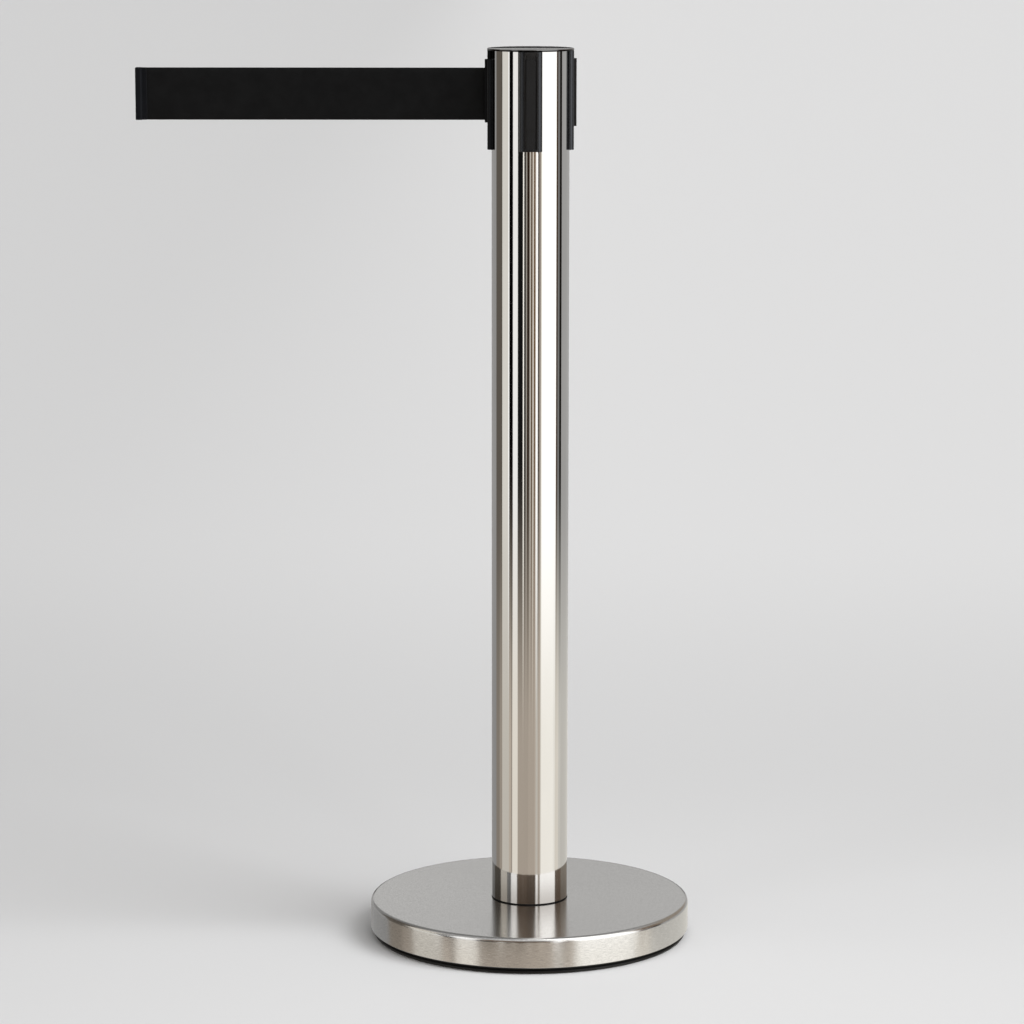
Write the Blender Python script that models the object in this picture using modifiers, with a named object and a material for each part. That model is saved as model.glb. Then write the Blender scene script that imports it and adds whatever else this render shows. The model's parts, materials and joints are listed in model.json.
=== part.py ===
"""Retractable belt stanchion.

A weighted base carries a polished steel post. A cassette in the head of the post holds a sprung spool
of belt. Three receivers take the belts of other posts, and the belt runs out through a gate on the
fourth side. Metres, +Z up. The origin is on the post's axis, on the floor. -Y is the front, and the
belt leaves towards -X.
"""
import math

import bmesh
import bpy
from mathutils import Matrix, Vector

MM = 0.001
GAP = 0.3 * MM  # air between pieces that touch
SPARE = 5 * MM  # how far a cutter reaches past what it cuts

# Whole object
HEIGHT = 888 * MM
BASE_R = 160 * MM
BASE_TOP = 36.3 * MM
TUBE_R = 38 * MM
HEAD_R = 42.3 * MM  # face of the receivers' bodies
LIP_R = 44.8 * MM  # face of the receivers' lips

# Base
FOOT_R = 157 * MM
FOOT_THICK = 3 * MM
FOOT_BEAD = 6.4 * MM
FOOT_RIM = 5 * MM
BEAD_R = 1.8 * MM
SKIRT_BOTTOM = FOOT_BEAD + GAP
COVER_THICK = 1.2 * MM
COVER_FILLET = 4.5 * MM
COVER_AIR = 0.5 * MM  # between the cover and the weight
WEIGHT_R = 153.5 * MM
WEIGHT_PLATE = 14 * MM
WEIGHT_RIM = 15 * MM
WEIGHT_STEP = (3 * MM, 2 * MM)  # how far in and up its lower edge steps over the foot's rim
RIM_SLOPE = 4 * MM
BOSS_R = 30 * MM
BOSS_TAPER = 2 * MM
BOSS_ROOM = 5 * MM  # height of the washers and their air
BOLT_R = 6 * MM
BOLT_HEAD_R = 11 * MM
BOLT_HEAD_THICK = 7.5 * MM
WASHER_R = 13 * MM
LOCK_WASHER_R = 10 * MM
WASHER_THICK = 2 * MM
BOLT_TOP = 74 * MM

# Post
TUBE_WALL = 1.2 * MM
GASKET_THICK = 0.6 * MM
GASKET_R = (32 * MM, 38.2 * MM)
PLUG_PLATE = 12 * MM
PLUG_HUB_R = 14 * MM
PLUG_HUB = 28 * MM

# Head, as depths below the top of the cap
CAP_R = 42.4 * MM
CAP_THICK = 2 * MM
RIM_DEPTH = 2.4 * MM  # top of the tube and of the receivers
RECEIVER_DEPTH = 98.4 * MM
LIP_DEPTHS = (9.9 * MM, 75.6 * MM)
GATE_LIP_DEPTHS = (10.8 * MM, 72.2 * MM)
TAB_DEPTH = 10.2 * MM  # lower edge of the cap's tab over the gate
TAB_ROOM = 36.2 * MM  # beyond this distance from the axis the gate leaves room for the tab
LID_DEPTHS = (5 * MM, 8 * MM)
FLOOR_DEPTHS = (101 * MM, 104 * MM)
CASE_R = TUBE_R - TUBE_WALL - 0.4 * MM
CASE_WALL = 2.2 * MM
COLLAR_R = (22.5 * MM, 25 * MM)
COLLAR_HEIGHT = 2.4 * MM
SPIGOT_R = (25.3 * MM, 27.3 * MM)
SCREW_REACH = 31.8 * MM  # from the post's axis to a lid screw
SCREW_R = 1.2 * MM
SCREW_HEAD_R = 2.3 * MM
SCREW_HEAD_THICK = 1.6 * MM
SCREW_HEAD_EDGE = (0.9 * MM, 0.7 * MM)  # how far in and down its edge slopes
SCREW_LENGTH = 14 * MM
SCREW_SPARE = 2 * MM  # thread of the screw that its hole doesn't take
SCREW_BOSS_R = 2.7 * MM

# Receivers
NECK_WIDTH = 14.8 * MM
BODY_WIDTH = 22.4 * MM
BODY_CORNER = 4.6 * MM
WING_R = TUBE_R + 0.4 * MM  # inner side of the wings that lie over the tube
FLANGE_WIDTH = 20 * MM
FLANGE_R = (30.2 * MM, 32.2 * MM)
RECESS_WIDTH = 12.4 * MM
RECESS_R = 38.8 * MM
RECESS_DEPTHS = (3.2 * MM, 95.8 * MM)
RAIL_WIDTH = 7.4 * MM
RAIL_R = 42.2 * MM
RAIL_RISE = 0.6 * MM  # how far the rail reaches above the panel
LIP_WIDTH = 8.8 * MM
LIP_THICK = 2.8 * MM

# Belt and spool
BELT_WIDTH = 50.8 * MM
BELT_THICK = 0.6 * MM
BELT_DEPTH = 19.1 * MM
BELT_REACH = 385.5 * MM  # post axis to the end of the clip, as it is held out
HUB_R = 14 * MM
ROLL_R = 22.9 * MM
SPOOL_R = 28 * MM
SHAFT_R = 4 * MM
SHAFT_CLIP_DEPTH = 12.2 * MM
SHAFT_CLIP_R = 7.5 * MM
THRUST_WASHER_R = 9 * MM
THRUST_WASHER_THICK = 1.2 * MM
SPOOL_DEPTHS = (12.5 * MM, 76.7 * MM)
FLANGE_THICK = 2 * MM
FLANGE_DROP = 1.2 * MM  # how far the upper flange sits below the hub's top
CUP_DEPTHS = (77 * MM, 97.4 * MM)
CUP_PLATE = 2 * MM
CUP_WALL = 1.5 * MM
CUP_COVER_DEPTHS = (97.7 * MM, 99.2 * MM)
ARBOR_R = 7 * MM
ARBOR_DEPTHS = (79.4 * MM, 97 * MM)
ROLLER_R = 2.6 * MM
ROLLER_AT = (-35.2 * MM, 3.3 * MM)
ROLLER_OVERHANG = 1.3 * MM  # beyond the belt's edge
FLARE_HALF = 5.6 * MM
PIN_R = 0.9 * MM
PIN_END = 3 * MM
SPRING_TURNS = 6
SPRING_R = (7.9 * MM, 25.9 * MM)
SPRING_DEPTHS = (80.5 * MM, 94.5 * MM)
SPRING_THICK = 0.35 * MM
CLIP_SLEEVE = 4.6 * MM
CLIP_WEB = 1.6 * MM
CLIP_WALL = 3.3 * MM
CLIP_HOOK = 1.4 * MM
CLIP_ARM = (LIP_WIDTH / 2 + GAP, LIP_WIDTH / 2 + 1.3 * MM)  # half widths inside and outside
CLIP_HOOK_AT = 4 * MM
CLIP_SLEEVE_HALF = 1.9 * MM
CLIP_CHAMFER = 0.7 * MM
CLIP_STOP = 0.6 * MM  # plastic between the belt's slit and the channel's web

COARSE = 32
MEDIUM = 40
FINE = 64

PARTS = "retractable_belt_stanchion"
CUTTERS = "cutters"


def depth(distance):
    """Height above the floor of a place this far below the top of the cap."""
    return HEIGHT - distance


def clear_scene():
    for old in list(bpy.data.objects):
        bpy.data.objects.remove(old, do_unlink=True)
    for name in (PARTS, CUTTERS):
        group = bpy.data.collections.new(name)
        bpy.context.scene.collection.children.link(group)


def material(name, colour, roughness, metallic=0.0):
    """A Principled material, made once for each name."""
    found = bpy.data.materials.get(name)
    if found:
        return found
    made = bpy.data.materials.new(name)
    made.use_nodes = True
    shader = made.node_tree.nodes["Principled BSDF"]
    shader.inputs["Base Color"].default_value = (*colour, 1)
    shader.inputs["Roughness"].default_value = roughness
    shader.inputs["Metallic"].default_value = metallic
    return made


def polished_steel():
    return material("polished_steel", (0.62, 0.60, 0.57), 0.05, 1)


def brushed_steel():
    return material("brushed_steel", (0.56, 0.54, 0.52), 0.3, 1)


def zinc_steel():
    return material("zinc_steel", (0.55, 0.56, 0.58), 0.35, 1)


def spring_steel():
    return material("spring_steel", (0.30, 0.32, 0.36), 0.3, 1)


def dark_chrome():
    return material("dark_chrome", (0.18, 0.18, 0.19), 0.12, 1)


def cast_iron():
    return material("cast_iron", (0.12, 0.12, 0.12), 0.7, 0.6)


def black_plastic():
    return material("black_plastic", (0.02, 0.02, 0.023), 0.35)


def grey_plastic():
    return material("grey_plastic", (0.32, 0.33, 0.34), 0.5)


def rubber():
    return material("black_rubber", (0.018, 0.018, 0.018), 0.75)


def webbing():
    return material("black_webbing", (0.01, 0.01, 0.011), 0.8)


def add(name, mesh, finish=None):
    """Puts a mesh in the scene as a part, or as a cutter when it has no finish."""
    made = bpy.data.objects.new(name, mesh)
    bpy.data.collections[PARTS if finish else CUTTERS].objects.link(made)
    if finish:
        mesh.materials.append(finish)
        mesh.shade_smooth()
        mesh.set_sharp_from_angle(angle=math.radians(35))
    else:
        made.hide_render = True
        made.display_type = "WIRE"
    return made


def arc(centre, radius, start, end, steps):
    """Points on an arc in a plane, from one angle to another in degrees."""
    angles = [math.radians(start + (end - start) * i / steps) for i in range(steps + 1)]
    return [(centre[0] + radius * math.cos(a), centre[1] + radius * math.sin(a)) for a in angles]


def turned(name, profile, finish=None, steps=COARSE, axis=(0, 0), closed=False):
    """Turns a profile of (radius, height) points, which runs down its outer side, about a vertical axis."""
    mesh = bpy.data.meshes.new(name)
    points = [(radius, 0, height) for radius, height in profile]
    edges = [(i, i + 1) for i in range(len(points) - 1)]
    if closed:
        edges.append((len(points) - 1, 0))
    mesh.from_pydata(points, edges, [])
    made = add(name, mesh, finish)
    made.location = (*axis, 0)
    screw = made.modifiers.new("turn", "SCREW")
    screw.steps = screw.render_steps = steps
    screw.use_merge_vertices = True
    screw.merge_threshold = 0.00005
    screw.use_smooth_shade = True
    return made


def disc(name, radius, low, high, finish=None, steps=COARSE, axis=(0, 0)):
    """A solid round bar or plate."""
    profile = [(0, high), (radius, high), (radius, low), (0, low)]
    return turned(name, profile, finish, steps, axis)


def ring(name, inner, outer, low, high, finish=None, steps=COARSE, axis=(0, 0)):
    """A plain bush, washer or flange."""
    profile = [(inner, high), (outer, high), (outer, low), (inner, low)]
    return turned(name, profile, finish, steps, axis, closed=True)


def prism(name, outline, low, high, finish=None):
    """A flat outline of (x, y) points, raised between two heights."""
    curve = bpy.data.curves.new(name + "_outline", "CURVE")
    curve.dimensions = "2D"
    curve.fill_mode = "BOTH"
    curve.extrude = (high - low) / 2
    line = curve.splines.new("POLY")
    line.points.add(len(outline) - 1)
    for point, (x, y) in zip(line.points, outline):
        point.co = (x, y, 0, 1)
    line.use_cyclic_u = True
    guide = bpy.data.objects.new(name + "_outline", curve)
    guide.location.z = (low + high) / 2
    bpy.context.scene.collection.objects.link(guide)
    bpy.context.view_layer.update()
    evaluated = guide.evaluated_get(bpy.context.evaluated_depsgraph_get())
    mesh = bpy.data.meshes.new_from_object(evaluated)
    mesh.name = name
    place = guide.matrix_world.copy()
    bpy.data.objects.remove(guide, do_unlink=True)
    weld(mesh)
    made = add(name, mesh, finish)
    made.matrix_world = place
    return made


def weld(mesh):
    """Joins the caps of a raised outline to its sides."""
    work = bmesh.new()
    work.from_mesh(mesh)
    bmesh.ops.remove_doubles(work, verts=work.verts, dist=0.00001)
    bmesh.ops.recalc_face_normals(work, faces=work.faces)
    work.to_mesh(mesh)
    work.free()


def box(name, low, high, finish=None):
    """A box between two corners."""
    work = bmesh.new()
    bmesh.ops.create_cube(work, size=1)
    size = [b - a for a, b in zip(low, high)]
    centre = Vector([(a + b) / 2 for a, b in zip(low, high)])
    work.transform(Matrix.Translation(centre) @ Matrix.Diagonal((*size, 1)))
    mesh = bpy.data.meshes.new(name)
    work.to_mesh(mesh)
    work.free()
    return add(name, mesh, finish)


def turn(piece, angle):
    """Turns a piece about the post's axis, by an angle in degrees."""
    piece.matrix_world = Matrix.Rotation(math.radians(angle), 4, "Z") @ piece.matrix_world


def boolean(target, tool, operation="DIFFERENCE"):
    change = target.modifiers.new(tool.name, "BOOLEAN")
    change.operation = operation
    change.solver = "EXACT"
    change.object = tool


# ---------------------------------------------------------------- base


def rubber_foot():
    """A dished pad under the whole base, with a bead that shows below the cover's skirt."""
    bead = BEAD_R
    inner = FOOT_R - FOOT_RIM
    profile = [(0, FOOT_THICK), (inner, FOOT_THICK), (inner, FOOT_BEAD)]
    profile += arc((FOOT_R - bead, FOOT_BEAD - bead), bead, 90, 0, 2)
    profile += arc((FOOT_R - bead, bead), bead, 0, -90, 2)
    profile += [(0, 0)]
    turned("rubber_foot", profile, rubber(), FINE)


def weight_heights():
    """The lowest, boss and top levels of the cast weight."""
    low = FOOT_THICK + GAP
    boss = low + BOLT_HEAD_THICK + BOSS_ROOM
    top = BASE_TOP - COVER_THICK - COVER_AIR
    return low, boss, top


def base_weight():
    """Cast disc with a deep rim and a boss for the bolt."""
    low, boss, top = weight_heights()
    plate = top - WEIGHT_PLATE
    bore = BOLT_R + 2 * GAP
    chamfer = 2 * MM
    profile = [
        (bore, top),
        (WEIGHT_R - chamfer, top),
        (WEIGHT_R, top - chamfer),
        (WEIGHT_R, FOOT_BEAD + WEIGHT_STEP[1]),
        (WEIGHT_R - WEIGHT_STEP[0], FOOT_BEAD),
        (WEIGHT_R - WEIGHT_STEP[0], low),
        (WEIGHT_R - WEIGHT_RIM, low),
        (WEIGHT_R - WEIGHT_RIM - RIM_SLOPE, plate),
        (BOSS_R, plate),
        (BOSS_R - BOSS_TAPER, boss),
        (bore, boss),
    ]
    turned("base_weight", profile, cast_iron(), MEDIUM, closed=True)


def base_cover():
    """Spun steel dish over the weight, with a rounded edge and a straight skirt."""
    bore = BOLT_R + 3 * GAP
    inside = COVER_FILLET - COVER_THICK
    corner = (BASE_R - COVER_FILLET, BASE_TOP - COVER_FILLET)
    profile = [(bore, BASE_TOP)]
    profile += arc(corner, COVER_FILLET, 90, 0, 4)
    profile += [(BASE_R, SKIRT_BOTTOM), (BASE_R - COVER_THICK, SKIRT_BOTTOM)]
    profile += arc(corner, inside, 0, 90, 2)
    profile += [(bore, BASE_TOP - COVER_THICK)]
    turned("base_cover", profile, brushed_steel(), FINE, closed=True)


def base_bolt():
    """Hexagon bolt up through the base, and the two washers under its head."""
    boss = weight_heights()[1]
    head_top = boss - 2 * WASHER_THICK - 3 * GAP
    head = disc("base_bolt", BOLT_HEAD_R, head_top - BOLT_HEAD_THICK, head_top, zinc_steel(), 6)
    shank = disc("bolt_shank", BOLT_R, head_top - BOLT_HEAD_THICK / 2, BOLT_TOP, None, 24)
    boolean(head, shank, "UNION")
    hole = BOLT_R + GAP
    low = head_top + GAP
    ring("base_lock_washer", hole, LOCK_WASHER_R, low, low + WASHER_THICK, spring_steel())
    low += WASHER_THICK + GAP
    ring("base_washer", hole, WASHER_R, low, low + WASHER_THICK, zinc_steel())


# ---------------------------------------------------------------- post


def tube_bottom():
    return BASE_TOP + GASKET_THICK + 2 * GAP


def foot_gasket():
    low = BASE_TOP + GAP
    ring("foot_gasket", *GASKET_R, low, low + GASKET_THICK, rubber(), MEDIUM)


def post_plug():
    """Steel plug in the foot of the tube, with the thread that the base bolt pulls on."""
    low = tube_bottom()
    outer = TUBE_R - TUBE_WALL - GAP
    bore = BOLT_R + GAP
    profile = [
        (bore, low + PLUG_PLATE + PLUG_HUB),
        (PLUG_HUB_R, low + PLUG_PLATE + PLUG_HUB),
        (PLUG_HUB_R, low + PLUG_PLATE),
        (outer, low + PLUG_PLATE),
        (outer, low),
        (bore, low),
    ]
    turned("post_plug", profile, zinc_steel(), MEDIUM, closed=True)


def slot_cutter(name, inner):
    """A box through the head's wall, wide enough for a receiver, on the +X side."""
    half = NECK_WIDTH / 2 + GAP
    low = depth(RECEIVER_DEPTH) - GAP
    return box(name, (inner, -half, low), (LIP_R + SPARE, half, HEIGHT + SPARE))


def cut_four_slots(target, inner):
    """Cuts the four receiver slots into a piece of the head."""
    for number in range(4):
        cutter = slot_cutter(f"{target.name}_slot_{number + 1}", inner)
        turn(cutter, 90 * number)
        boolean(target, cutter)


def post_tube():
    wall = TUBE_R - TUBE_WALL
    tube = ring("post_tube", wall, TUBE_R, tube_bottom(), depth(RIM_DEPTH), polished_steel(), FINE)
    cut_four_slots(tube, TUBE_R - TUBE_WALL - SPARE)


# ---------------------------------------------------------------- head casing


def screw_places():
    """Centres of the four lid screws, between the slots."""
    turns = [Matrix.Rotation(math.radians(45 + 90 * i), 2) for i in range(4)]
    return [turn @ Vector((SCREW_REACH, 0)) for turn in turns]


def cassette_body():
    """Plastic cup in the head of the tube, open at the top, with a boss for each lid screw."""
    inner = CASE_R - CASE_WALL
    floor, bottom = depth(FLOOR_DEPTHS[0]), depth(FLOOR_DEPTHS[1])
    rim = depth(RIM_DEPTH)
    profile = [(0, floor), (inner, floor), (inner, rim)]
    profile += [(CASE_R, rim), (CASE_R, bottom), (0, bottom)]
    body = turned("cassette_body", profile, black_plastic(), MEDIUM)
    boss_top = depth(LID_DEPTHS[1]) - GAP
    for number, place in enumerate(screw_places(), 1):
        boss = disc(f"boss_{number}", SCREW_BOSS_R, floor - MM, boss_top, None, 12, place)
        boolean(body, boss, "UNION")
    for number, place in enumerate(screw_places(), 1):
        hole_bottom = boss_top - SCREW_LENGTH + SCREW_SPARE
        hole = disc(f"boss_hole_{number}", SCREW_R + GAP, hole_bottom, HEIGHT, None, 12, place)
        boolean(body, hole)
    cut_four_slots(body, FLANGE_R[1] - GAP)


def cassette_lid():
    """Plate over the spool, with a collar that the cap presses onto."""
    low, top = depth(LID_DEPTHS[1]), depth(LID_DEPTHS[0])
    collar = top + COLLAR_HEIGHT
    outer = CASE_R - CASE_WALL - GAP
    profile = [
        (SHAFT_R + GAP, top),
        (COLLAR_R[0], top),
        (COLLAR_R[0], collar),
        (COLLAR_R[1], collar),
        (COLLAR_R[1], top),
        (outer, top),
        (outer, low),
        (SHAFT_R + GAP, low),
    ]
    lid = turned("cassette_lid", profile, black_plastic(), MEDIUM, closed=True)
    for number, place in enumerate(screw_places(), 1):
        hole = disc(f"lid_hole_{number}", SCREW_R + GAP, low - MM, top + MM, None, 12, place)
        boolean(lid, hole)
    cut_four_slots(lid, FLANGE_R[1] - GAP)


def lid_screws():
    """Four small pan-head screws."""
    seat = depth(LID_DEPTHS[0]) + GAP
    head, tip = seat + SCREW_HEAD_THICK, seat - SCREW_LENGTH
    for number, place in enumerate(screw_places(), 1):
        profile = [
            (0, head),
            (SCREW_HEAD_R - SCREW_HEAD_EDGE[0], head),
            (SCREW_HEAD_R, head - SCREW_HEAD_EDGE[1]),
            (SCREW_HEAD_R, seat),
            (SCREW_R, seat),
            (SCREW_R, tip + MM),
            (SCREW_R / 3, tip),
            (0, tip),
        ]
        turned(f"lid_screw_{number}", profile, zinc_steel(), 12, place)


def top_cap():
    """Thin dark cap with a rounded edge, a spigot round the lid's collar and a tab over the belt gate."""
    bottom = HEIGHT - CAP_THICK
    edge = 0.8 * MM
    spigot = bottom - COLLAR_HEIGHT
    profile = [(0, HEIGHT)]
    profile += arc((CAP_R - edge, HEIGHT - edge), edge, 90, 0, 2)
    profile += [
        (CAP_R, bottom),
        (SPIGOT_R[1], bottom),
        (SPIGOT_R[1], spigot),
        (SPIGOT_R[0], spigot),
        (SPIGOT_R[0], bottom),
        (0, bottom),
    ]
    cap = turned("top_cap", profile, dark_chrome(), FINE)
    outline = wing_arc(-1, 0, 1) + body_corners()
    tab = prism("cap_tab", outline, depth(TAB_DEPTH), bottom + MM)
    turn(tab, 180)
    boolean(cap, tab, "UNION")


# ---------------------------------------------------------------- receivers and gate


def wing_arc(*sides):
    """Points on the circle that the wings' inner sides follow, from the edge, -1, to the other, 1."""
    edge = math.degrees(math.asin((BODY_WIDTH / 2 - 0.2 * MM) / WING_R))
    neck = math.degrees(math.asin(NECK_WIDTH / 2 / WING_R))
    places = {-1: -edge, -0.5: -neck, 0: 0, 0.5: neck, 1: edge}
    points = []
    for a, b in zip(sides, sides[1:]):
        points += arc((0, 0), WING_R, places[a], places[b], 3)[: None if b == sides[-1] else -1]
    return points


def body_corners():
    """The large round corners of a receiver's body, from the +Y side to the -Y side."""
    reach, side = HEAD_R - BODY_CORNER, BODY_WIDTH / 2 - BODY_CORNER
    points = arc((reach, side), BODY_CORNER, 90, 0, 5)
    return points + arc((reach, -side), BODY_CORNER, 0, -90, 5)


def bar_outline():
    """Plan of a receiver: a flange inside the tube, a neck through its slot, and wings over its outside."""
    neck, flange = NECK_WIDTH / 2, FLANGE_WIDTH / 2
    outline = [(FLANGE_R[1], -neck), (FLANGE_R[1], -flange), (FLANGE_R[0], -flange)]
    outline += [(FLANGE_R[0], flange), (FLANGE_R[1], flange), (FLANGE_R[1], neck)]
    outline += wing_arc(0.5, 1)
    outline += body_corners()
    outline += wing_arc(-1, -0.5)
    return outline


def facing_prism(name, outline, near, far):
    """An outline of (height, y) points, raised along X between two distances."""
    piece = prism(name, outline, -far, -near)
    piece.matrix_world = Matrix.Rotation(-math.pi / 2, 4, "Y") @ piece.matrix_world
    return piece


def recess_outline():
    """The sunk panel round the rail, with an arched top."""
    half = RECESS_WIDTH / 2
    top, low = depth(RECESS_DEPTHS[0]), depth(RECESS_DEPTHS[1])
    return [(low, half), (low, -half), *arc((top - half, 0), half, -90, 90, 10)]


def bar_with_lip(name, lip_depths):
    """The shape that the receivers and the gate share, on the +X side.

    A rail stands in a sunk panel, and its raised lip is wider than the rail, for a clip to hook behind.
    The flange stops below the lid and above the floor of the cassette.
    """
    body = prism(name, bar_outline(), depth(RECEIVER_DEPTH), depth(RIM_DEPTH), black_plastic())
    recess = facing_prism(f"{name}_recess", recess_outline(), RECESS_R, LIP_R + MM)
    rail_low, rail_top = depth(RECESS_DEPTHS[1] + MM), depth(RECESS_DEPTHS[0] - RAIL_RISE)
    rail = box(
        f"{name}_rail",
        (RECESS_R - MM, -RAIL_WIDTH / 2, rail_low),
        (RAIL_R, RAIL_WIDTH / 2, rail_top),
    )
    lip = box(
        f"{name}_lip",
        (LIP_R - LIP_THICK, -LIP_WIDTH / 2, depth(lip_depths[1])),
        (LIP_R, LIP_WIDTH / 2, depth(lip_depths[0])),
    )
    side = FLANGE_WIDTH
    inner, outer = FLANGE_R[0] - SPARE, FLANGE_R[1] + GAP
    notch_top = depth(LID_DEPTHS[1]) - GAP
    top = box(f"{name}_top_notch", (inner, -side, notch_top), (outer, side, HEIGHT + MM))
    notch_low = depth(FLOOR_DEPTHS[0]) + 2 * MM
    low = box(f"{name}_low_notch", (inner, -side, HEIGHT - 2 * FLOOR_DEPTHS[1]), (outer, side, notch_low))
    boolean(body, recess)
    boolean(body, rail, "UNION")
    boolean(body, lip, "UNION")
    boolean(body, top)
    boolean(body, low)
    return body, [recess, rail, lip, top, low]


def receiver(name, angle):
    """A fitting on the head that another post's belt clip snaps onto."""
    body, tools = bar_with_lip(name, LIP_DEPTHS)
    for piece in (body, *tools):
        turn(piece, angle)


def belt_span():
    """The belt's lower and upper edges."""
    top = depth(BELT_DEPTH)
    return top - BELT_WIDTH, top


def roller_span():
    low, high = belt_span()
    return low - ROLLER_OVERHANG, high + ROLLER_OVERHANG


def belt_gate():
    """The belt's way out: a slit through the rail, with a pocket for a guide roller on each side."""
    body, tools = bar_with_lip("belt_gate", GATE_LIP_DEPTHS)
    for piece in (body, *tools):
        turn(piece, 180)
    low, high = belt_span()
    slit = box("gate_slit", (-LIP_R - MM, -MM, low - MM), (-FLANGE_R[0] + MM, MM, high + MM))
    flare_low, flare_high = roller_span()
    flare = box(
        "gate_flare",
        (ROLLER_AT[0], -FLARE_HALF, flare_low),
        (-FLANGE_R[0] + MM, FLARE_HALF, flare_high),
    )
    under_tab = box(
        "gate_tab_notch",
        (-LIP_R - MM, -BODY_WIDTH, depth(TAB_DEPTH) - GAP),
        (-TAB_ROOM, BODY_WIDTH, HEIGHT + MM),
    )
    for tool in (under_tab, slit, flare):
        boolean(body, tool)
    room = 0.4 * MM
    ends = PIN_END + GAP
    for side, name in ((-1, "front"), (1, "back")):
        place = (ROLLER_AT[0], side * ROLLER_AT[1])
        pocket_span = (flare_low - room, flare_high + room)
        pocket = disc(f"pocket_{name}", ROLLER_R + room, *pocket_span, None, 16, place)
        hole = disc(f"pin_hole_{name}", PIN_R + GAP, low - ends, high + ends, None, 12, place)
        boolean(body, pocket)
        boolean(body, hole)


def guide_rollers():
    """A plastic roller on a steel pin each side of the belt."""
    low, high = belt_span()
    for side, name in ((-1, "front"), (1, "back")):
        place = (ROLLER_AT[0], side * ROLLER_AT[1])
        ring(f"guide_roller_{name}", PIN_R + GAP, ROLLER_R, *roller_span(), grey_plastic(), 16, place)
        disc(f"guide_pin_{name}", PIN_R, low - PIN_END, high + PIN_END, zinc_steel(), 12, place)


# ---------------------------------------------------------------- spool


def spool_shaft():
    """Fixed steel shaft with its washer, clip and the arbor of the power spring."""
    floor = depth(FLOOR_DEPTHS[0]) + GAP
    disc("spool_shaft", SHAFT_R, floor, depth(LID_DEPTHS[0]), zinc_steel(), 24)
    bore = SHAFT_R + GAP
    washer = (floor, floor + THRUST_WASHER_THICK)
    ring("thrust_washer", bore, THRUST_WASHER_R, *washer, grey_plastic(), 24)
    clip = depth(SHAFT_CLIP_DEPTH)
    ring("shaft_clip", bore, SHAFT_CLIP_R, clip, clip + MM, spring_steel(), 24)
    top, low = (depth(level) for level in ARBOR_DEPTHS)
    ring("spring_arbor", bore, ARBOR_R, low, top, zinc_steel(), 24)


def spring_cup():
    """Cup under the spool that turns with it and holds the power spring, and its cover."""
    top, low = (depth(level) for level in CUP_DEPTHS)
    under = top - CUP_PLATE
    wall = SPOOL_R - CUP_WALL
    bore = SHAFT_R + GAP
    profile = [(bore, top), (SPOOL_R, top), (SPOOL_R, low), (wall, low), (wall, under), (bore, under)]
    turned("spring_cup", profile, grey_plastic(), COARSE, closed=True)
    cover_top, cover_low = (depth(level) for level in CUP_COVER_DEPTHS)
    ring("spring_cover", bore, SPOOL_R, cover_low, cover_top, grey_plastic())


def power_spring():
    """Flat steel spiral between the arbor and the cup's wall."""
    inner, outer = SPRING_R
    steps = 16
    high, low = (depth(level) for level in SPRING_DEPTHS)
    count = SPRING_TURNS * steps
    work = bmesh.new()
    rows = []
    for i in range(count + 1):
        angle = 2 * math.pi * i / steps
        radius = inner + (outer - inner) * i / count
        x, y = radius * math.cos(angle), radius * math.sin(angle)
        rows.append((work.verts.new((x, y, low)), work.verts.new((x, y, high))))
    for (a, b), (c, d) in zip(rows, rows[1:]):
        work.faces.new((a, c, d, b))
    mesh = bpy.data.meshes.new("power_spring")
    work.to_mesh(mesh)
    work.free()
    spring = add("power_spring", mesh, spring_steel())
    strip = spring.modifiers.new("thickness", "SOLIDIFY")
    strip.thickness = SPRING_THICK
    strip.offset = 0


def spool():
    """Core and flanges that the belt winds on, and the wound belt."""
    top, low = (depth(level) for level in SPOOL_DEPTHS)
    ring("spool_hub", SHAFT_R + GAP, HUB_R, low, top, grey_plastic())
    bore = HUB_R + GAP
    ring("spool_flange_bottom", bore, SPOOL_R, low, low + FLANGE_THICK, grey_plastic())
    high = top - FLANGE_DROP
    ring("spool_flange_top", bore, SPOOL_R, high - FLANGE_THICK, high, grey_plastic())
    ring("belt_roll", bore, ROLL_R, *belt_span(), webbing())


# ---------------------------------------------------------------- belt


def belt_path():
    """Plan of the belt's middle line: off the roll, round the front roller and straight out."""
    roll = ROLL_R + GAP + BELT_THICK / 2
    reach, bend = -ROLLER_AT[0], ROLLER_AT[1]
    lean = math.asin((roll + bend) / math.hypot(reach, bend)) - math.atan2(bend, reach)
    start = (-roll * math.sin(lean), -roll * math.cos(lean))
    turn_start = 90 - math.degrees(lean)
    around = arc((ROLLER_AT[0], -bend), bend, turn_start, 90, 5)
    end = (-BELT_REACH + CLIP_HOOK + CLIP_WALL + CLIP_WEB + MM, 0)
    return [start, *around, end]


def belt():
    """The woven strap, as thin as it is, from the roll to the clip."""
    low, high = belt_span()
    work = bmesh.new()
    rows = [(work.verts.new((x, y, low)), work.verts.new((x, y, high))) for x, y in belt_path()]
    for (a, b), (c, d) in zip(rows, rows[1:]):
        work.faces.new((a, c, d, b))
    mesh = bpy.data.meshes.new("belt")
    work.to_mesh(mesh)
    work.free()
    strap = add("belt", mesh, webbing())
    strip = strap.modifiers.new("thickness", "SOLIDIFY")
    strip.thickness = BELT_THICK
    strip.offset = 0


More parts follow.
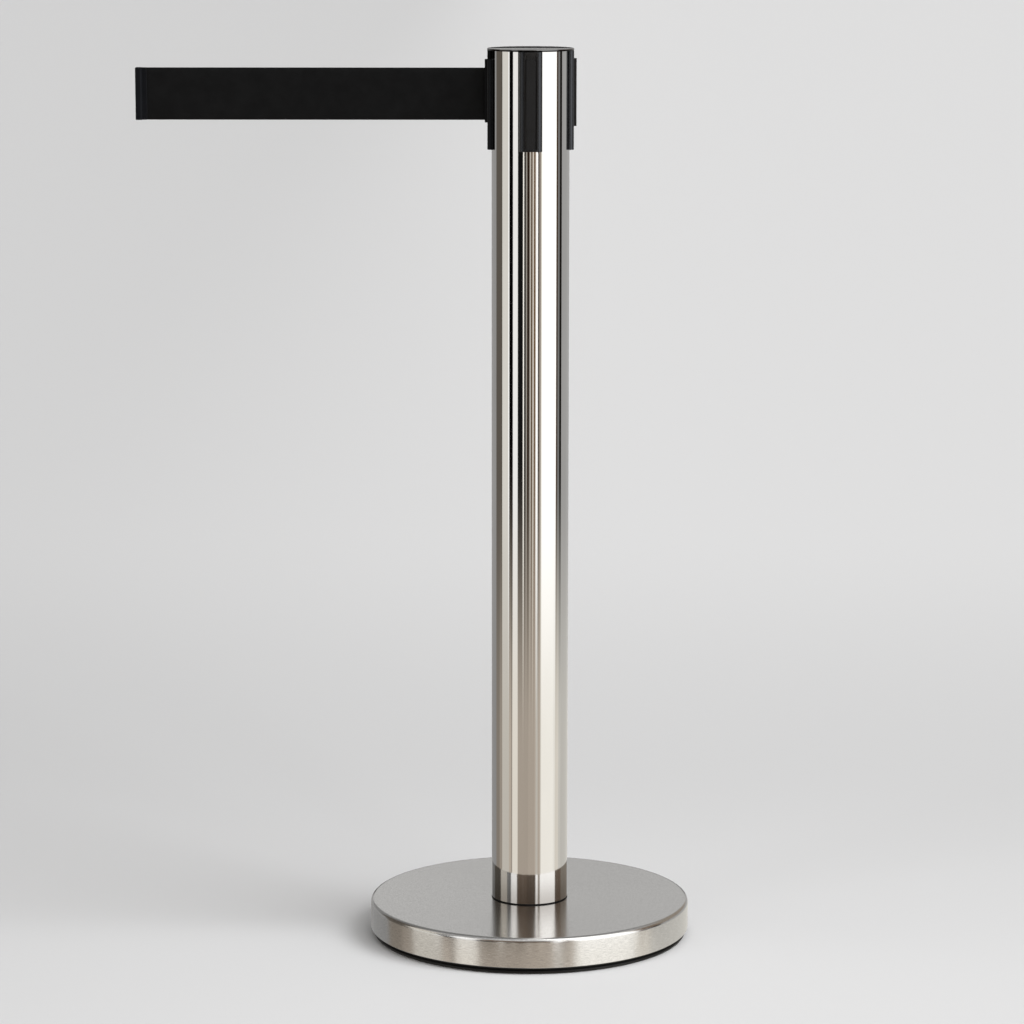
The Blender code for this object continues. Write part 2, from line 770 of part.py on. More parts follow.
def belt_end_clip():
    """Clip on the belt's end: a sleeve round the belt, and a channel whose hooks snap over a rail's lip."""
    low, high = belt_span()
    tip = -BELT_REACH
    hook_end = tip + CLIP_HOOK
    web = hook_end + CLIP_WALL
    sleeve_end = web + CLIP_WEB
    root = sleeve_end + CLIP_SLEEVE
    inner, outer = CLIP_ARM
    half = [(root, CLIP_SLEEVE_HALF), (sleeve_end, CLIP_SLEEVE_HALF)]
    half += [(sleeve_end, outer - CLIP_CHAMFER), (web, outer), (tip, outer), (tip, inner)]
    half += [(hook_end, CLIP_HOOK_AT), (hook_end, inner), (web, inner)]
    outline = half + [(x, -y) for x, y in reversed(half)]
    clip = prism("belt_end_clip", outline, low, high, black_plastic())
    slit_half = BELT_THICK / 2 + GAP
    slit_end = sleeve_end + CLIP_STOP
    slit = box("clip_slit", (slit_end, -slit_half, low - MM), (root + MM, slit_half, high + MM))
    boolean(clip, slit)


# ---------------------------------------------------------------- all


def main():
    clear_scene()
    rubber_foot()
    base_weight()
    base_cover()
    base_bolt()
    foot_gasket()
    post_plug()
    post_tube()
    cassette_body()
    cassette_lid()
    lid_screws()
    top_cap()
    receiver("receiver_front", -90)
    receiver("receiver_right", 0)
    receiver("receiver_back", 90)
    belt_gate()
    guide_rollers()
    spool_shaft()
    spring_cup()
    power_spring()
    spool()
    belt()
    belt_end_clip()


main()
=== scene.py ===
"""Looks of the retractable belt stanchion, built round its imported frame."""

import json
import math

import bmesh
import bpy
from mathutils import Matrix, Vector


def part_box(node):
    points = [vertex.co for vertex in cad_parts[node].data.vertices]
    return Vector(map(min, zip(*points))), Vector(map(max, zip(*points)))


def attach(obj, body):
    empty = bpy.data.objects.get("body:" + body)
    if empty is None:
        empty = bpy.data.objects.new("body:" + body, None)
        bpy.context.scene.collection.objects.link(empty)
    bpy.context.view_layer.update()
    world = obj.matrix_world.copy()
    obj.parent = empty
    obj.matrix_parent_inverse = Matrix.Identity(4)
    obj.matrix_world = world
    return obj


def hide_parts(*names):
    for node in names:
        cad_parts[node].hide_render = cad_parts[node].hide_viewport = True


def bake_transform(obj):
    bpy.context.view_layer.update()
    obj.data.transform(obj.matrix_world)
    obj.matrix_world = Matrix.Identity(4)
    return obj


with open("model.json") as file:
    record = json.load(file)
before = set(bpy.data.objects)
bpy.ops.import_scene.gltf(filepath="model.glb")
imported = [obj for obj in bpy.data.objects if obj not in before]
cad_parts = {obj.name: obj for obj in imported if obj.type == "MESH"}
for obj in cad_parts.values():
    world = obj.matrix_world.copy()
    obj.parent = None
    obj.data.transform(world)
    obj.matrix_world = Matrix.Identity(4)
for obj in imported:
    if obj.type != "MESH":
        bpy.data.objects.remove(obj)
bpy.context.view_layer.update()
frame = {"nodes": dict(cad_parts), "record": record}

NODES = frame["nodes"]
MM = 0.001
MICRON = 0.000001
HALF_TURN = 180

# ---------------------------------------------------------------- shader nodes


def node(tree, kind, inputs=None, **settings):
    """Adds a node, with its settings, and its inputs by name or number: a value, or a socket to link."""
    made = tree.nodes.new(kind)
    for name, value in settings.items():
        setattr(made, name, value)
    for name, value in (inputs or {}).items():
        if isinstance(value, bpy.types.NodeSocket):
            tree.links.new(value, made.inputs[name])
        else:
            made.inputs[name].default_value = value
    return made


def calc(tree, operation, a, b=0.0):
    return node(tree, "ShaderNodeMath", {0: a, 1: b}, operation=operation).outputs[0]


def fade(tree, value, start, end, low=0.0, high=1.0):
    """Goes smoothly from low to high as value goes from start to end."""
    made = node(
        tree,
        "ShaderNodeMapRange",
        {"Value": value, "From Min": start, "From Max": end, "To Min": low, "To Max": high},
        interpolation_type="SMOOTHSTEP",
    )
    return made.outputs["Result"]


def blended(tree, factor, a, b):
    """Goes from colour a to colour b as factor goes from 0 to 1."""
    return node(tree, "ShaderNodeMix", {0: factor, 6: a, 7: b}, data_type="RGBA").outputs[2]


def noise(tree, place, scale, detail=3.0, roughness=0.5):
    made = node(
        tree,
        "ShaderNodeTexNoise",
        {"Vector": place, "Scale": scale, "Detail": detail, "Roughness": roughness},
    )
    return made.outputs["Fac"]


def stretched(tree, place, scale):
    made = node(tree, "ShaderNodeVectorMath", {0: place, 1: scale}, operation="MULTIPLY")
    return made.outputs[0]


def bumped(tree, height, strength, distance):
    made = node(tree, "ShaderNodeBump", {"Height": height, "Strength": strength, "Distance": distance})
    return made.outputs["Normal"]


def new_material(name, **constants):
    """A material, its tree, its shader and object coordinates in metres."""
    made = bpy.data.materials.new(name)
    made.use_nodes = True
    tree = made.node_tree
    shader = tree.nodes["Principled BSDF"]
    for socket, value in constants.items():
        shader.inputs[socket.replace("_", " ")].default_value = value
    place = node(tree, "ShaderNodeTexCoord").outputs["Object"]
    return made, tree, shader, place


def link(tree, value, shader, socket):
    tree.links.new(value, shader.inputs[socket])


def split(tree, place):
    return node(tree, "ShaderNodeSeparateXYZ", {0: place}).outputs


def around_post(tree, place):
    """Turns a place into its angle, its distance from the post's axis, and its height."""
    x, y, z = split(tree, place)
    angle = calc(tree, "ARCTAN2", y, x)
    squares = calc(tree, "ADD", calc(tree, "MULTIPLY", x, x), calc(tree, "MULTIPLY", y, y))
    return angle, calc(tree, "SQRT", squares), z


def joined(tree, x, y, z):
    return node(tree, "ShaderNodeCombineXYZ", {0: x, 1: y, 2: z}).outputs[0]


# ---------------------------------------------------------------- materials


def polished_steel():
    """Mirror-bright tube steel with faint smears and turning lines, and painted shade that darkens it at its
    foot.
    """
    made, tree, shader, place = new_material("polished_steel", Metallic=1.0)
    smears = noise(tree, stretched(tree, place, (14, 14, 2.5)), 1.0, 4.0, 0.6)
    tint = blended(tree, fade(tree, smears, 0.35, 0.7), (0.66, 0.655, 0.645, 1), (0.62, 0.612, 0.6, 1))
    angle, reach, height = around_post(tree, place)
    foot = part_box("base_cover")[1].z
    painted_shade_reach = 34 * MM
    # Painted shade: the base colour is blended halfway to dark brown at the tube's foot, fading out 34 mm
    # higher.
    shade = fade(tree, height, foot, foot + painted_shade_reach, 0.5, 0.0)
    link(tree, blended(tree, shade, tint, (0.17, 0.145, 0.125, 1)), shader, "Base Color")
    turning = joined(tree, calc(tree, "MULTIPLY", angle, 1.5), reach, calc(tree, "MULTIPLY", height, 900))
    lines = noise(tree, turning, 1.0, 2.0)
    link(tree, calc(tree, "ADD", calc(tree, "MULTIPLY", lines, 0.02), 0.035), shader, "Roughness")
    return made


def brushed_steel():
    """Satin steel: a fine even grain, drawn out a little along the turning lines."""
    made, tree, shader, place = new_material(
        "brushed_steel", Metallic=1.0, Anisotropic=0.4, Anisotropic_Rotation=0.25
    )
    angle, reach, height = around_post(tree, place)
    around = joined(
        tree,
        calc(tree, "MULTIPLY", angle, 25),
        calc(tree, "MULTIPLY", reach, 1300),
        calc(tree, "MULTIPLY", height, 2600),
    )
    lines = noise(tree, around, 1.0, 2.0)
    speck = noise(tree, place, 1150, 2.0, 0.6)
    cloud = noise(tree, place, 9, 3.0)
    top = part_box("base_cover")[1].z
    skirt, rounding = top - 5 * MM, top - 2 * MM
    speckled = fade(tree, height, skirt, rounding, 0.4, 0.75)
    mixed = node(tree, "ShaderNodeMix", {0: speckled, 2: lines, 3: speck}).outputs[0]
    tint = blended(tree, fade(tree, mixed, 0.32, 0.68), (0.5, 0.496, 0.49, 1), (0.71, 0.706, 0.696, 1))
    tint = blended(tree, fade(tree, cloud, 0.35, 0.7, 0.0, 0.25), tint, (0.66, 0.655, 0.645, 1))
    link(tree, tint, shader, "Base Color")
    link(tree, fade(tree, mixed, 0.3, 0.7, 0.17, 0.2), shader, "Roughness")
    link(tree, bumped(tree, mixed, 0.04, 30 * MICRON), shader, "Normal")
    tangent = node(tree, "ShaderNodeTangent", direction_type="RADIAL", axis="Z")
    link(tree, tangent.outputs[0], shader, "Tangent")
    return made


def dark_chrome():
    """Dark plated cap. The edge of its plate runs into a painted black shadow line where it meets the tube.
    """
    made, tree, shader, place = new_material("dark_chrome", Metallic=1.0)
    cloud = noise(tree, place, 60, 4.0)
    plate = blended(tree, cloud, (0.16, 0.16, 0.163, 1), (0.22, 0.218, 0.215, 1))
    height = split(tree, place)[2]
    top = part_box("top_cap")[1].z
    painted_shadow_low, painted_shadow_high = top - 1.0 * MM, top - 0.6 * MM
    # Painted shadow: the cap's side is black from 1 mm below its top downwards, where it meets the tube.
    above = fade(tree, height, painted_shadow_low, painted_shadow_high)
    link(tree, blended(tree, above, (0.004, 0.004, 0.004, 1), plate), shader, "Base Color")
    link(tree, fade(tree, noise(tree, place, 300, 3.0), 0.3, 0.7, 0.08, 0.16), shader, "Roughness")
    return made


def black_plastic(name, shine, tone=1.0):
    """Moulded ABS with a very fine spark-eroded grain."""
    made, tree, shader, place = new_material(
        name, IOR=1.5, Specular_IOR_Level=shine, Specular_Tint=(0.86, 0.91, 1, 1)
    )
    cloud = noise(tree, place, 40, 4.0)
    dark = (0.003 * tone, 0.0033 * tone, 0.004 * tone, 1)
    light = (0.006 * tone, 0.0065 * tone, 0.0078 * tone, 1)
    link(tree, blended(tree, cloud, dark, light), shader, "Base Color")
    grain = noise(tree, place, 2600, 2.0)
    link(tree, fade(tree, cloud, 0.3, 0.7, 0.16, 0.22), shader, "Roughness")
    link(tree, bumped(tree, grain, 0.12, 30 * MICRON), shader, "Normal")
    return made


def black_rubber():
    """Dull moulded rubber."""
    made, tree, shader, place = new_material("black_rubber", IOR=1.48, Specular_IOR_Level=0.3)
    cloud = noise(tree, place, 70, 4.0)
    link(tree, blended(tree, cloud, (0.002, 0.002, 0.002, 1), (0.005, 0.005, 0.005, 1)), shader, "Base Color")
    link(tree, fade(tree, cloud, 0.3, 0.7, 0.42, 0.6), shader, "Roughness")
    link(tree, bumped(tree, noise(tree, place, 1500, 3.0), 0.25, 60 * MICRON), shader, "Normal")
    return made


def black_webbing():
    """Plain woven black polyester, whose warp runs along X and whose weft runs up."""
    made, tree, shader, place = new_material(
        "black_webbing", IOR=1.45, Specular_IOR_Level=0.12, Sheen_Weight=0.03, Sheen_Roughness=0.4
    )
    along, _, across = split(tree, place)
    warp_pitch = 1.15 * MM
    turn = 2 * math.pi / warp_pitch
    warp = calc(tree, "SINE", calc(tree, "MULTIPLY", across, turn))
    weft = calc(tree, "SINE", calc(tree, "MULTIPLY", along, turn * 0.8))
    weave = calc(tree, "MULTIPLY", warp, weft)
    ribs = calc(tree, "ABSOLUTE", warp)
    height = calc(tree, "ADD", calc(tree, "MULTIPLY", weave, 0.5), ribs)
    fibres = noise(tree, place, 1400, 3.0, 0.6)
    cloud = noise(tree, place, 55, 4.0, 0.6)
    raised = fade(tree, weave, -1.0, 1.0)
    threads = blended(tree, raised, (0.0026, 0.0028, 0.0032, 1), (0.0058, 0.0061, 0.0068, 1))
    worn = fade(tree, calc(tree, "MULTIPLY", cloud, fibres), 0.1, 0.42)
    link(tree, blended(tree, worn, threads, (0.008, 0.0084, 0.0092, 1)), shader, "Base Color")
    link(tree, fade(tree, fibres, 0.2, 0.8, 0.7, 0.95), shader, "Roughness")
    full = calc(tree, "ADD", height, calc(tree, "MULTIPLY", fibres, 0.6))
    link(tree, bumped(tree, full, 0.45, 120 * MICRON), shader, "Normal")
    return made


def cast_iron():
    """Rough sand-cast iron."""
    made, tree, shader, place = new_material("cast_iron", Metallic=0.3)
    lumps = noise(tree, place, 420, 5.0, 0.6)
    link(tree, blended(tree, lumps, (0.03, 0.03, 0.032, 1), (0.075, 0.073, 0.07, 1)), shader, "Base Color")
    link(tree, fade(tree, lumps, 0.3, 0.7, 0.5, 0.75), shader, "Roughness")
    link(tree, bumped(tree, lumps, 0.5, 400 * MICRON), shader, "Normal")
    return made


def zinc_steel():
    """Zinc-plated steel with fine machining lines."""
    made, tree, shader, place = new_material("zinc_steel", Metallic=1.0)
    cloud = noise(tree, place, 130, 4.0)
    link(tree, blended(tree, cloud, (0.5, 0.51, 0.54, 1), (0.62, 0.615, 0.58, 1)), shader, "Base Color")
    lines = noise(tree, stretched(tree, place, (500, 500, 3000)), 1.0, 2.0)
    link(tree, fade(tree, lines, 0.3, 0.7, 0.26, 0.42), shader, "Roughness")
    link(tree, bumped(tree, lines, 0.15, 40 * MICRON), shader, "Normal")
    return made


def spring_steel():
    """Blued spring strip."""
    made, tree, shader, place = new_material("spring_steel", Metallic=1.0)
    cloud = noise(tree, place, 90, 3.0)
    link(tree, blended(tree, cloud, (0.16, 0.2, 0.32, 1), (0.34, 0.33, 0.34, 1)), shader, "Base Color")
    link(tree, fade(tree, noise(tree, place, 700, 3.0), 0.3, 0.7, 0.22, 0.36), shader, "Roughness")
    return made


def grey_plastic():
    """Plain acetal of the moving pieces inside the head."""
    made, tree, shader, place = new_material("grey_plastic", IOR=1.48)
    cloud = noise(tree, place, 80, 4.0)
    link(tree, blended(tree, cloud, (0.28, 0.29, 0.3, 1), (0.35, 0.36, 0.365, 1)), shader, "Base Color")
    link(tree, fade(tree, cloud, 0.3, 0.7, 0.4, 0.55), shader, "Roughness")
    link(tree, bumped(tree, noise(tree, place, 1800, 2.0), 0.1, 30 * MICRON), shader, "Normal")
    return made


FINISHES = {
    "polished_steel": polished_steel(),
    "brushed_steel": brushed_steel(),
    "dark_chrome": dark_chrome(),
    "black_plastic": black_plastic("black_plastic", 0.6),
    "black_rubber": black_rubber(),
    "black_webbing": black_webbing(),
    "cast_iron": cast_iron(),
    "zinc_steel": zinc_steel(),
    "spring_steel": spring_steel(),
    "grey_plastic": grey_plastic(),
}
SLOTS = {part["node"]: part["material_slot"] for part in frame["record"]["subparts"]}
for name, cad in NODES.items():
    for slot in cad.material_slots:
        slot.material = FINISHES[SLOTS[name]]

# ---------------------------------------------------------------- geometry

SHEET_STEEL = 1.2 * MM


def arc(centre, radius, start, end, steps):
    """Points on an arc in a plane, from one angle to another in degrees."""
    angles = [math.radians(start + (end - start) * i / steps) for i in range(steps + 1)]
    return [(centre[0] + radius * math.cos(a), centre[1] + radius * math.sin(a)) for a in angles]


def placed(name, work, node_name, crease=35, finish=None):
    """Turns a finished bmesh into a piece that stands for a CAD node, sharp where it turns past crease."""
    mesh = bpy.data.meshes.new(name)
    bmesh.ops.recalc_face_normals(work, faces=work.faces)
    work.to_mesh(mesh)
    work.free()
    mesh.shade_smooth()
    mesh.set_sharp_from_angle(angle=math.radians(crease))
    piece = bpy.data.objects.new(name, mesh)
    bpy.context.scene.collection.objects.link(piece)
    slot = SLOTS[node_name]
    mesh.materials.append(finish or FINISHES[slot])
    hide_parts(node_name)
    return piece


def revolved(profile, steps, closed):
    """A bmesh of a (radius, height) profile turned about the post's axis."""
    work = bmesh.new()
    rings = []
    for radius, height in profile:
        if radius == 0:
            rings.append([work.verts.new((0, 0, height))])
            continue
        angles = [2 * math.pi * i / steps for i in range(steps)]
        rings.append([work.verts.new((radius * math.cos(a), radius * math.sin(a), height)) for a in angles])
    pairs = list(zip(rings, rings[1:]))
    if closed:
        pairs.append((rings[-1], rings[0]))
    for a, b in pairs:
        for i in range(steps):
            j = (i + 1) % steps
            corners = [a[i % len(a)], a[j % len(a)], b[j % len(b)], b[i % len(b)]]
            work.faces.new(list(dict.fromkeys(corners)))
    return work


def refined(name, node_name, width, finish=None):
    """A CAD node's own shape with its flat faces made whole again and its edges rounded."""
    crease, flat, same_place = 30, 1, 0.01 * MM
    work = bmesh.new()
    work.from_mesh(NODES[node_name].data)
    bmesh.ops.remove_doubles(work, verts=work.verts, dist=same_place)
    bmesh.ops.dissolve_limit(work, angle_limit=math.radians(flat), verts=work.verts, edges=work.edges)
    piece = placed(name, work, node_name, crease, finish)
    bevel = piece.modifiers.new("rounding", "BEVEL")
    bevel.width = width
    bevel.segments = 3
    bevel.limit_method = "ANGLE"
    bevel.angle_limit = math.radians(crease)
    bevel.use_clamp_overlap = True
    bevel.harden_normals = True
    return piece


def rubber_foot():
    """A dished pad whose rounded bead shows under the base's skirt."""
    low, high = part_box("rubber_foot")
    radius, top = high.x, high.z
    pad, bead, ridge = 3 * MM, 1.7 * MM, 1.2 * MM
    ridge_inset, groove_depth, chamfer = 0.5 * MM, 1.5 * MM, 0.6 * MM
    groove = 2 * bead + 0.4 * MM
    inner = radius - 5 * MM
    profile = [(0, pad), (inner, pad), (inner, top - chamfer), (inner + chamfer, top)]
    profile += arc((radius - ridge - ridge_inset, top - ridge), ridge, 90, -40, 8)
    profile += [(radius - groove_depth, groove)]
    profile += arc((radius - bead, bead), bead, 60, -90, 10)
    profile += [(0, low.z)]
    piece = placed("foot_pad", revolved(profile, 192, False), "rubber_foot")
    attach(piece, "root")


def base_cover():
    """Spun steel dish with a rounded edge, a straight skirt and a hemmed lower edge."""
    low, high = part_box("base_cover")
    radius, top, bottom = high.x, high.z, low.z
    fillet, hem, bore = 4.5 * MM, 0.5 * MM, 6.9 * MM
    inside, under = radius - SHEET_STEEL, top - SHEET_STEEL
    near_ring, far_ring, edge_ring = 40 * MM, 100 * MM, radius - fillet - 2 * MM
    skirt_ring = bottom + 6 * MM
    centre = (radius - fillet, top - fillet)
    profile = [(bore, top), (near_ring, top), (far_ring, top), (edge_ring, top)]
    profile += arc(centre, fillet, 90, 0, 12)
    profile += [(radius, skirt_ring), (radius, bottom + hem), (radius - hem, bottom)]
    profile += [(inside, bottom), (inside, skirt_ring)]
    profile += arc(centre, fillet - SHEET_STEEL, 0, 90, 6)
    profile += [(far_ring, under), (near_ring, under), (bore, under)]
    piece = placed("base_dish", revolved(profile, 256, True), "base_cover")
    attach(piece, "root")


def foot_gasket():
    """Rubber ring under the tube, with a half-round outer edge."""
    low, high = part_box("foot_gasket")
    radius, inner = high.x, 32 * MM
    bulge = (high.z - low.z) / 2
    profile = [(inner, high.z), (radius - bulge, high.z)]
    profile += arc((radius - bulge, (low.z + high.z) / 2), bulge, 90, -90, 8)[1:]
    profile += [(inner, low.z)]
    piece = placed("post_gasket", revolved(profile, 128, True), "foot_gasket")
    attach(piece, "root")


def post_tube():
    """Polished tube with four slots at its top for the receivers."""
    low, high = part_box("post_tube")
    radius, slot_half, slot_room = high.x, 7.7 * MM, 0.3 * MM
    slot_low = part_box("receiver_front")[0].z - slot_room
    half = math.degrees(math.asin(slot_half / radius))
    between, slot_steps, wall_steps = 90 - 2 * half, 8, 34
    angles = set()
    for quarter in (0, 90, 180, 270):
        angles.update(quarter - half + 2 * half * i / slot_steps for i in range(slot_steps + 1))
        angles.update(quarter + half + between * i / wall_steps for i in range(1, wall_steps))
    angles = sorted(angles)
    margin, shaft_rings = 2 * MM, (0.3, 0.55)
    heights = [low.z, low.z + margin, *shaft_rings, slot_low - margin, slot_low, high.z]
    work = bmesh.new()
    columns = []
    for angle in angles:
        a = math.radians(angle)
        columns.append([work.verts.new((radius * math.cos(a), radius * math.sin(a), z)) for z in heights])
    for i, column in enumerate(columns):
        following = columns[(i + 1) % len(columns)]
        just_past = angles[i] + 0.01
        in_slot = abs((just_past + 45) % 90 - 45) < half
        for j in range(len(heights) - 1):
            if in_slot and heights[j] >= slot_low:
                continue
            work.faces.new((column[j], following[j], following[j + 1], column[j + 1]))
    loose = [v for v in work.verts if not v.link_faces]
    bmesh.ops.delete(work, geom=loose, context="VERTS")
    bmesh.ops.recalc_face_normals(work, faces=work.faces)
    outward = sum(f.normal.dot(f.calc_center_median() * Vector((1, 1, 0))) for f in work.faces)
    if outward < 0:
        bmesh.ops.reverse_faces(work, faces=work.faces)
    bmesh.ops.solidify(work, geom=work.faces[:], thickness=SHEET_STEEL)
    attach(placed("tube", work, "post_tube"), "root")


def head():
    """Receivers, belt gate and cap, with the softened edges of moulded and spun pieces."""
    for side in ("front", "right", "back"):
        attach(refined(f"rail_{side}", f"receiver_{side}", 0.6 * MM), "root")
    dull = black_plastic("dull_black_plastic", 0.12)
    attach(refined("gate", "belt_gate", 0.35 * MM, finish=dull), "root")
    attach(refined("cap", "top_cap", 0.25 * MM), "root")
    worn = black_plastic("worn_black_plastic", 0.03, tone=2.0)
    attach(refined("clip", "belt_end_clip", 0.3 * MM, finish=worn), "belt_end")


def belt_section(width, thick):
    """A flat strap's outline with half-round edges, as (across, out) points."""
    half, edge = width / 2, thick / 2
    points = []
    for side in (1, -1):
        points += [(side * y, side * z) for y, z in arc((half - edge, 0), edge, -90, 90, 4)]
        points += [(side * step * half, side * edge) for step in (0.8, 0.4, 0.0, -0.4, -0.8)]
    return points


def belt():
    """Webbing strap: off the roll, round the front roller, and out to the clip in one straight run."""
    low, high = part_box("belt")
    gate_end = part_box("belt_gate")[0].x
    clip_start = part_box("belt_end_clip")[1].x
    roller_low, roller_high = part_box("guide_roller_front")
    thick, air = 0.6 * MM, 0.3 * MM
    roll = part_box("belt_roll")[1].x + air + thick / 2
    centre = (roller_low + roller_high) / 2
    bend = -centre.y
    reach = -centre.x
    lean = math.asin((roll + bend) / math.hypot(reach, bend)) - math.atan2(bend, reach)
    start = (-roll * math.sin(lean), -roll * math.cos(lean))
    path = [start]
    path += arc((centre.x, -bend), bend, 90 - math.degrees(lean), 90, 8)
    path += [(gate_end, 0), (clip_start, 0), (low.x, 0)]
    section = belt_section(high.z - low.z, thick)
    middle = (low.z + high.z) / 2
    work = bmesh.new()
    rings = []
    for i, point in enumerate(path):
        before, after = path[max(i - 1, 0)], path[min(i + 1, len(path) - 1)]
        ahead = Vector((after[0] - before[0], after[1] - before[1])).normalized()
        side = Vector((-ahead.y, ahead.x))
        rings.append([
            work.verts.new((point[0] + side.x * out, point[1] + side.y * out, middle + across))
            for across, out in section
        ])
    for a, b in zip(rings, rings[1:]):
        for i in range(len(section)):
            j = (i + 1) % len(section)
            work.faces.new((a[i], a[j], b[j], b[i]))
    work.faces.new(rings[0])
    work.faces.new(rings[-1])
    piece = placed("strap", work, "belt")
    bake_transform(piece)
    # The photograph shows no reflection of the belt in the tube.
    piece.visible_glossy = False


rubber_foot()
base_cover()
foot_gasket()
post_tube()
head()
belt()

# ---------------------------------------------------------------- studio

NEUTRAL = (1, 0.99, 0.975)
WARM = (1, 0.87, 0.73)
CREAM = (1, 0.94, 0.84)
PALE = (1, 0.97, 0.9)
UMBER = (1, 0.74, 0.55)
BROWN = (1, 0.52, 0.24)
GOLD = (1, 0.42, 0.05)

# Each ring of cards round the post: from this azimuth, 0 in front and + to the right, this bright.
LEVEL_RING = [
    (-180, 0.04, NEUTRAL), (-168, 0.41, NEUTRAL), (-123, 0.15, WARM), (-93, 0.98, PALE),
    (-70, 1.45, NEUTRAL), (-66, 0.002, NEUTRAL), (-53.7, 1.25, NEUTRAL), (-38, 0.009, NEUTRAL),
    (-21.8, 1.5, PALE), (-18.8, 0.002, NEUTRAL), (-16, 0.1, WARM), (-13, 0.5, CREAM),
    (-10, 0.06, BROWN), (-7, 0.005, BROWN), (-4, 0.32, WARM), (-1.2, 0.85, CREAM),
    (1.5, 0.08, GOLD), (5, 0.6, WARM), (7.6, 1.0, CREAM), (10.2, 0.15, GOLD), (13.8, 0.6, WARM),
    (16.4, 1.6, NEUTRAL), (22, 0.03, BROWN), (25.5, 0.4, WARM), (31.2, 1.0, CREAM),
    (34.2, 1.7, NEUTRAL), (83.6, 0.07, BROWN), (89.6, 0.25, NEUTRAL), (97.5, 0.016, WARM),
    (107.2, 0.5, NEUTRAL), (168, 0.04, NEUTRAL),
]
LOW_RING = [
    (-180, 0.35, NEUTRAL), (-123, 0.32, WARM), (-105, 0.45, WARM), (-93, 0.76, CREAM), (-66, 0.68, WARM),
    (-59, 0.45, WARM), (-55, 1.08, CREAM), (-37, 0.56, WARM), (-5, 0.6, WARM), (14, 0.66, WARM),
    (17.5, 0.76, CREAM), (24, 0.66, WARM), (31, 0.9, CREAM), (34, 1.3, PALE), (76, 1.2, PALE),
    (82.5, 1.0, CREAM), (98, 0.82, PALE), (108, 0.75, PALE),
]
HIGH_RING = [
    (-180, 0.64, NEUTRAL), (-160, 0.3, NEUTRAL), (-134, 0.12, WARM), (-99, 0.9, CREAM),
    (-73, 0.3, NEUTRAL), (-59, 1.7, NEUTRAL), (-39, 0.22, UMBER), (-8, 0.17, UMBER), (18, 2.0, NEUTRAL),
    (25, 0.6, WARM), (31.3, 2.1, NEUTRAL), (84, 0.25, UMBER), (111, 0.38, WARM),
    (160, 0.6, NEUTRAL),
]
TOP_RING = [
    (-180, 0.25, NEUTRAL), (-100, 0.5, NEUTRAL), (-40, 0.8, NEUTRAL), (20, 2.2, NEUTRAL),
    (90, 0.5, NEUTRAL), (140, 0.25, NEUTRAL),
]


def half_ring(tree, turn, cards, soft):
    """A colour ramp over half a turn. Each card's edges are soft over that many degrees."""
    ramp = node(tree, "ShaderNodeValToRGB", {0: turn})
    stops = ramp.color_ramp.elements
    places = []
    for start, end, level, tint in cards:
        colour = (*(level * channel for channel in tint), 1)
        places.append((max(0.0, (start + soft / 2) / HALF_TURN), colour))
        places.append((min(1.0, (end - soft / 2) / HALF_TURN), colour))
    while len(stops) > 1:
        stops.remove(stops[-1])
    stops[0].position, stops[0].color = places[0]
    for position, colour in places[1:]:
        stops.new(position).color = colour
    return ramp.outputs[0]


def ring_of_cards(tree, azimuth, cards, soft):
    """A whole ring, as two ramps, because one ramp holds too few stops."""
    ends = [card[0] for card in cards[1:]] + [HALF_TURN]
    spans = [(start, end, level, tint) for (start, level, tint), end in zip(cards, ends)]
    left = [(s + HALF_TURN, min(e, 0) + HALF_TURN, level, tint) for s, e, level, tint in spans if s < 0]
    right = [(max(s, 0), e, level, tint) for s, e, level, tint in spans if e > 0]
    left_turn = calc(tree, "DIVIDE", calc(tree, "ADD", azimuth, HALF_TURN), HALF_TURN)
    right_turn = calc(tree, "DIVIDE", azimuth, HALF_TURN)
    on_right = calc(tree, "GREATER_THAN", azimuth, 0)
    left_ring = half_ring(tree, left_turn, left, soft)
    right_ring = half_ring(tree, right_turn, right, soft)
    return blended(tree, on_right, left_ring, right_ring)


# Going up from the lowest ring: between these two heights, in degrees, the next ring takes over,
# and its cards' edges are this soft.
HIGHER_RINGS = [(-13.2, -8.6, LEVEL_RING, 0.6), (4, 10, HIGH_RING, 2.0), (28, 50, TOP_RING, 20.0)]
BACKDROP = (0.74, 0.74, 0.74, 1)


def studio_world():
    """Softboxes and flags round the post. The eye itself sees only an even pale backdrop."""
    world = bpy.data.worlds.new("studio")
    bpy.context.scene.world = world
    world.use_nodes = True
    tree = world.node_tree
    tree.nodes.clear()
    x, y, z = split(tree, node(tree, "ShaderNodeTexCoord").outputs["Generated"])
    degrees = HALF_TURN / math.pi
    azimuth = calc(tree, "MULTIPLY", calc(tree, "ARCTAN2", x, calc(tree, "MULTIPLY", y, -1)), degrees)
    height = calc(tree, "MULTIPLY", calc(tree, "ARCSINE", z), degrees)
    colour = ring_of_cards(tree, azimuth, LOW_RING, 2.0)
    for start, end, cards, soft in HIGHER_RINGS:
        above = fade(tree, height, start, end)
        colour = blended(tree, above, colour, ring_of_cards(tree, azimuth, cards, soft))
    seen = node(tree, "ShaderNodeLightPath").outputs["Is Camera Ray"]
    colour = blended(tree, seen, colour, BACKDROP)
    sky = node(tree, "ShaderNodeBackground", {"Color": colour, "Strength": 1.0})
    out = node(tree, "ShaderNodeOutputWorld")
    tree.links.new(sky.outputs[0], out.inputs[0])


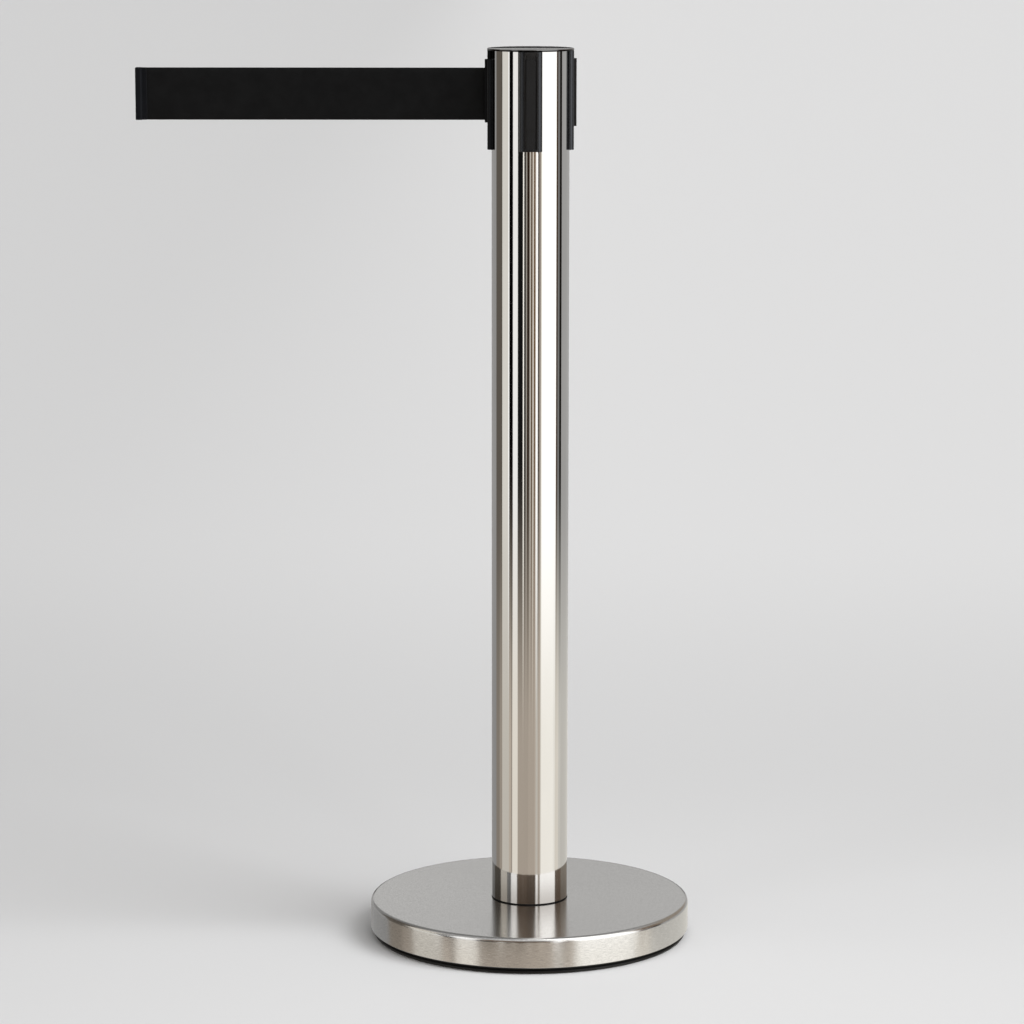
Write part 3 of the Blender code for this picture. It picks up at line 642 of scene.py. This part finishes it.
def floor():
    """A wide pale floor that fades into the backdrop a little behind the post. Its colour holds painted
    shade: darker to the left and going back, then lighter again further back.
    """
    made, tree, shader, place = new_material("studio_floor", Roughness=0.85, Specular_IOR_Level=0.1)
    x, y, _ = split(tree, place)
    # Painted shade and light: the floor's colour darkens to the left and going back to 0.75 m behind the
    # post, and lightens again beyond.
    painted_shade_near = fade(tree, y, -0.4, 0.75, 1.0, 0.86)
    painted_light_far = fade(tree, y, 0.75, 2.4, 0.0, 0.09)
    left = fade(tree, x, -1.0, 0.25, 0.87, 1.0)
    level = calc(tree, "MULTIPLY", calc(tree, "ADD", painted_shade_near, painted_light_far), left)
    tint = blended(tree, level, (0, 0, 0, 1), (0.75, 0.76, 0.776, 1))
    link(tree, tint, shader, "Base Color")
    reach, below_foot = 60, 0.2 * MM
    work = bmesh.new()
    bmesh.ops.create_circle(work, cap_ends=True, radius=reach, segments=96)
    mesh = bpy.data.meshes.new("studio_floor")
    work.to_mesh(mesh)
    work.free()
    mesh.materials.append(made)
    ground = bpy.data.objects.new("studio_floor", mesh)
    ground.location.z = -below_foot
    bpy.context.scene.collection.objects.link(ground)
    # The cards alone light the post and show in it.
    ground.visible_glossy = False
    ground.visible_diffuse = False


def key_light(direction, spread, strength):
    """A broad lamp far off, whose shadows are soft."""
    data = bpy.data.lights.new("key", "SUN")
    data.angle = math.radians(spread)
    data.energy = strength
    lamp = bpy.data.objects.new("key", data)
    lamp.rotation_euler = Vector(direction).to_track_quat("Z", "Y").to_euler()
    lamp.location = direction
    lamp.visible_glossy = False
    bpy.context.scene.collection.objects.link(lamp)


def camera(place, look_down, roll, lens):
    """The photograph's eye, in metres, degrees and millimetres, in front of the post."""
    data = bpy.data.cameras.new("camera")
    data.sensor_width = 36
    data.lens = lens
    data.clip_end = 100
    eye = bpy.data.objects.new("camera", data)
    eye.location = place
    eye.rotation_euler = (math.radians(90 - look_down), math.radians(roll), 0)
    bpy.context.scene.collection.objects.link(eye)
    bpy.context.scene.camera = eye


studio_world()
floor()
key_light(direction=(2.2, -0.9, 2.6), spread=30, strength=1.2)
camera(place=(-0.01835, -3.7, 1.046), look_down=9.46, roll=-0.04, lens=132.6)
bpy.context.scene.view_settings.view_transform = "Standard"
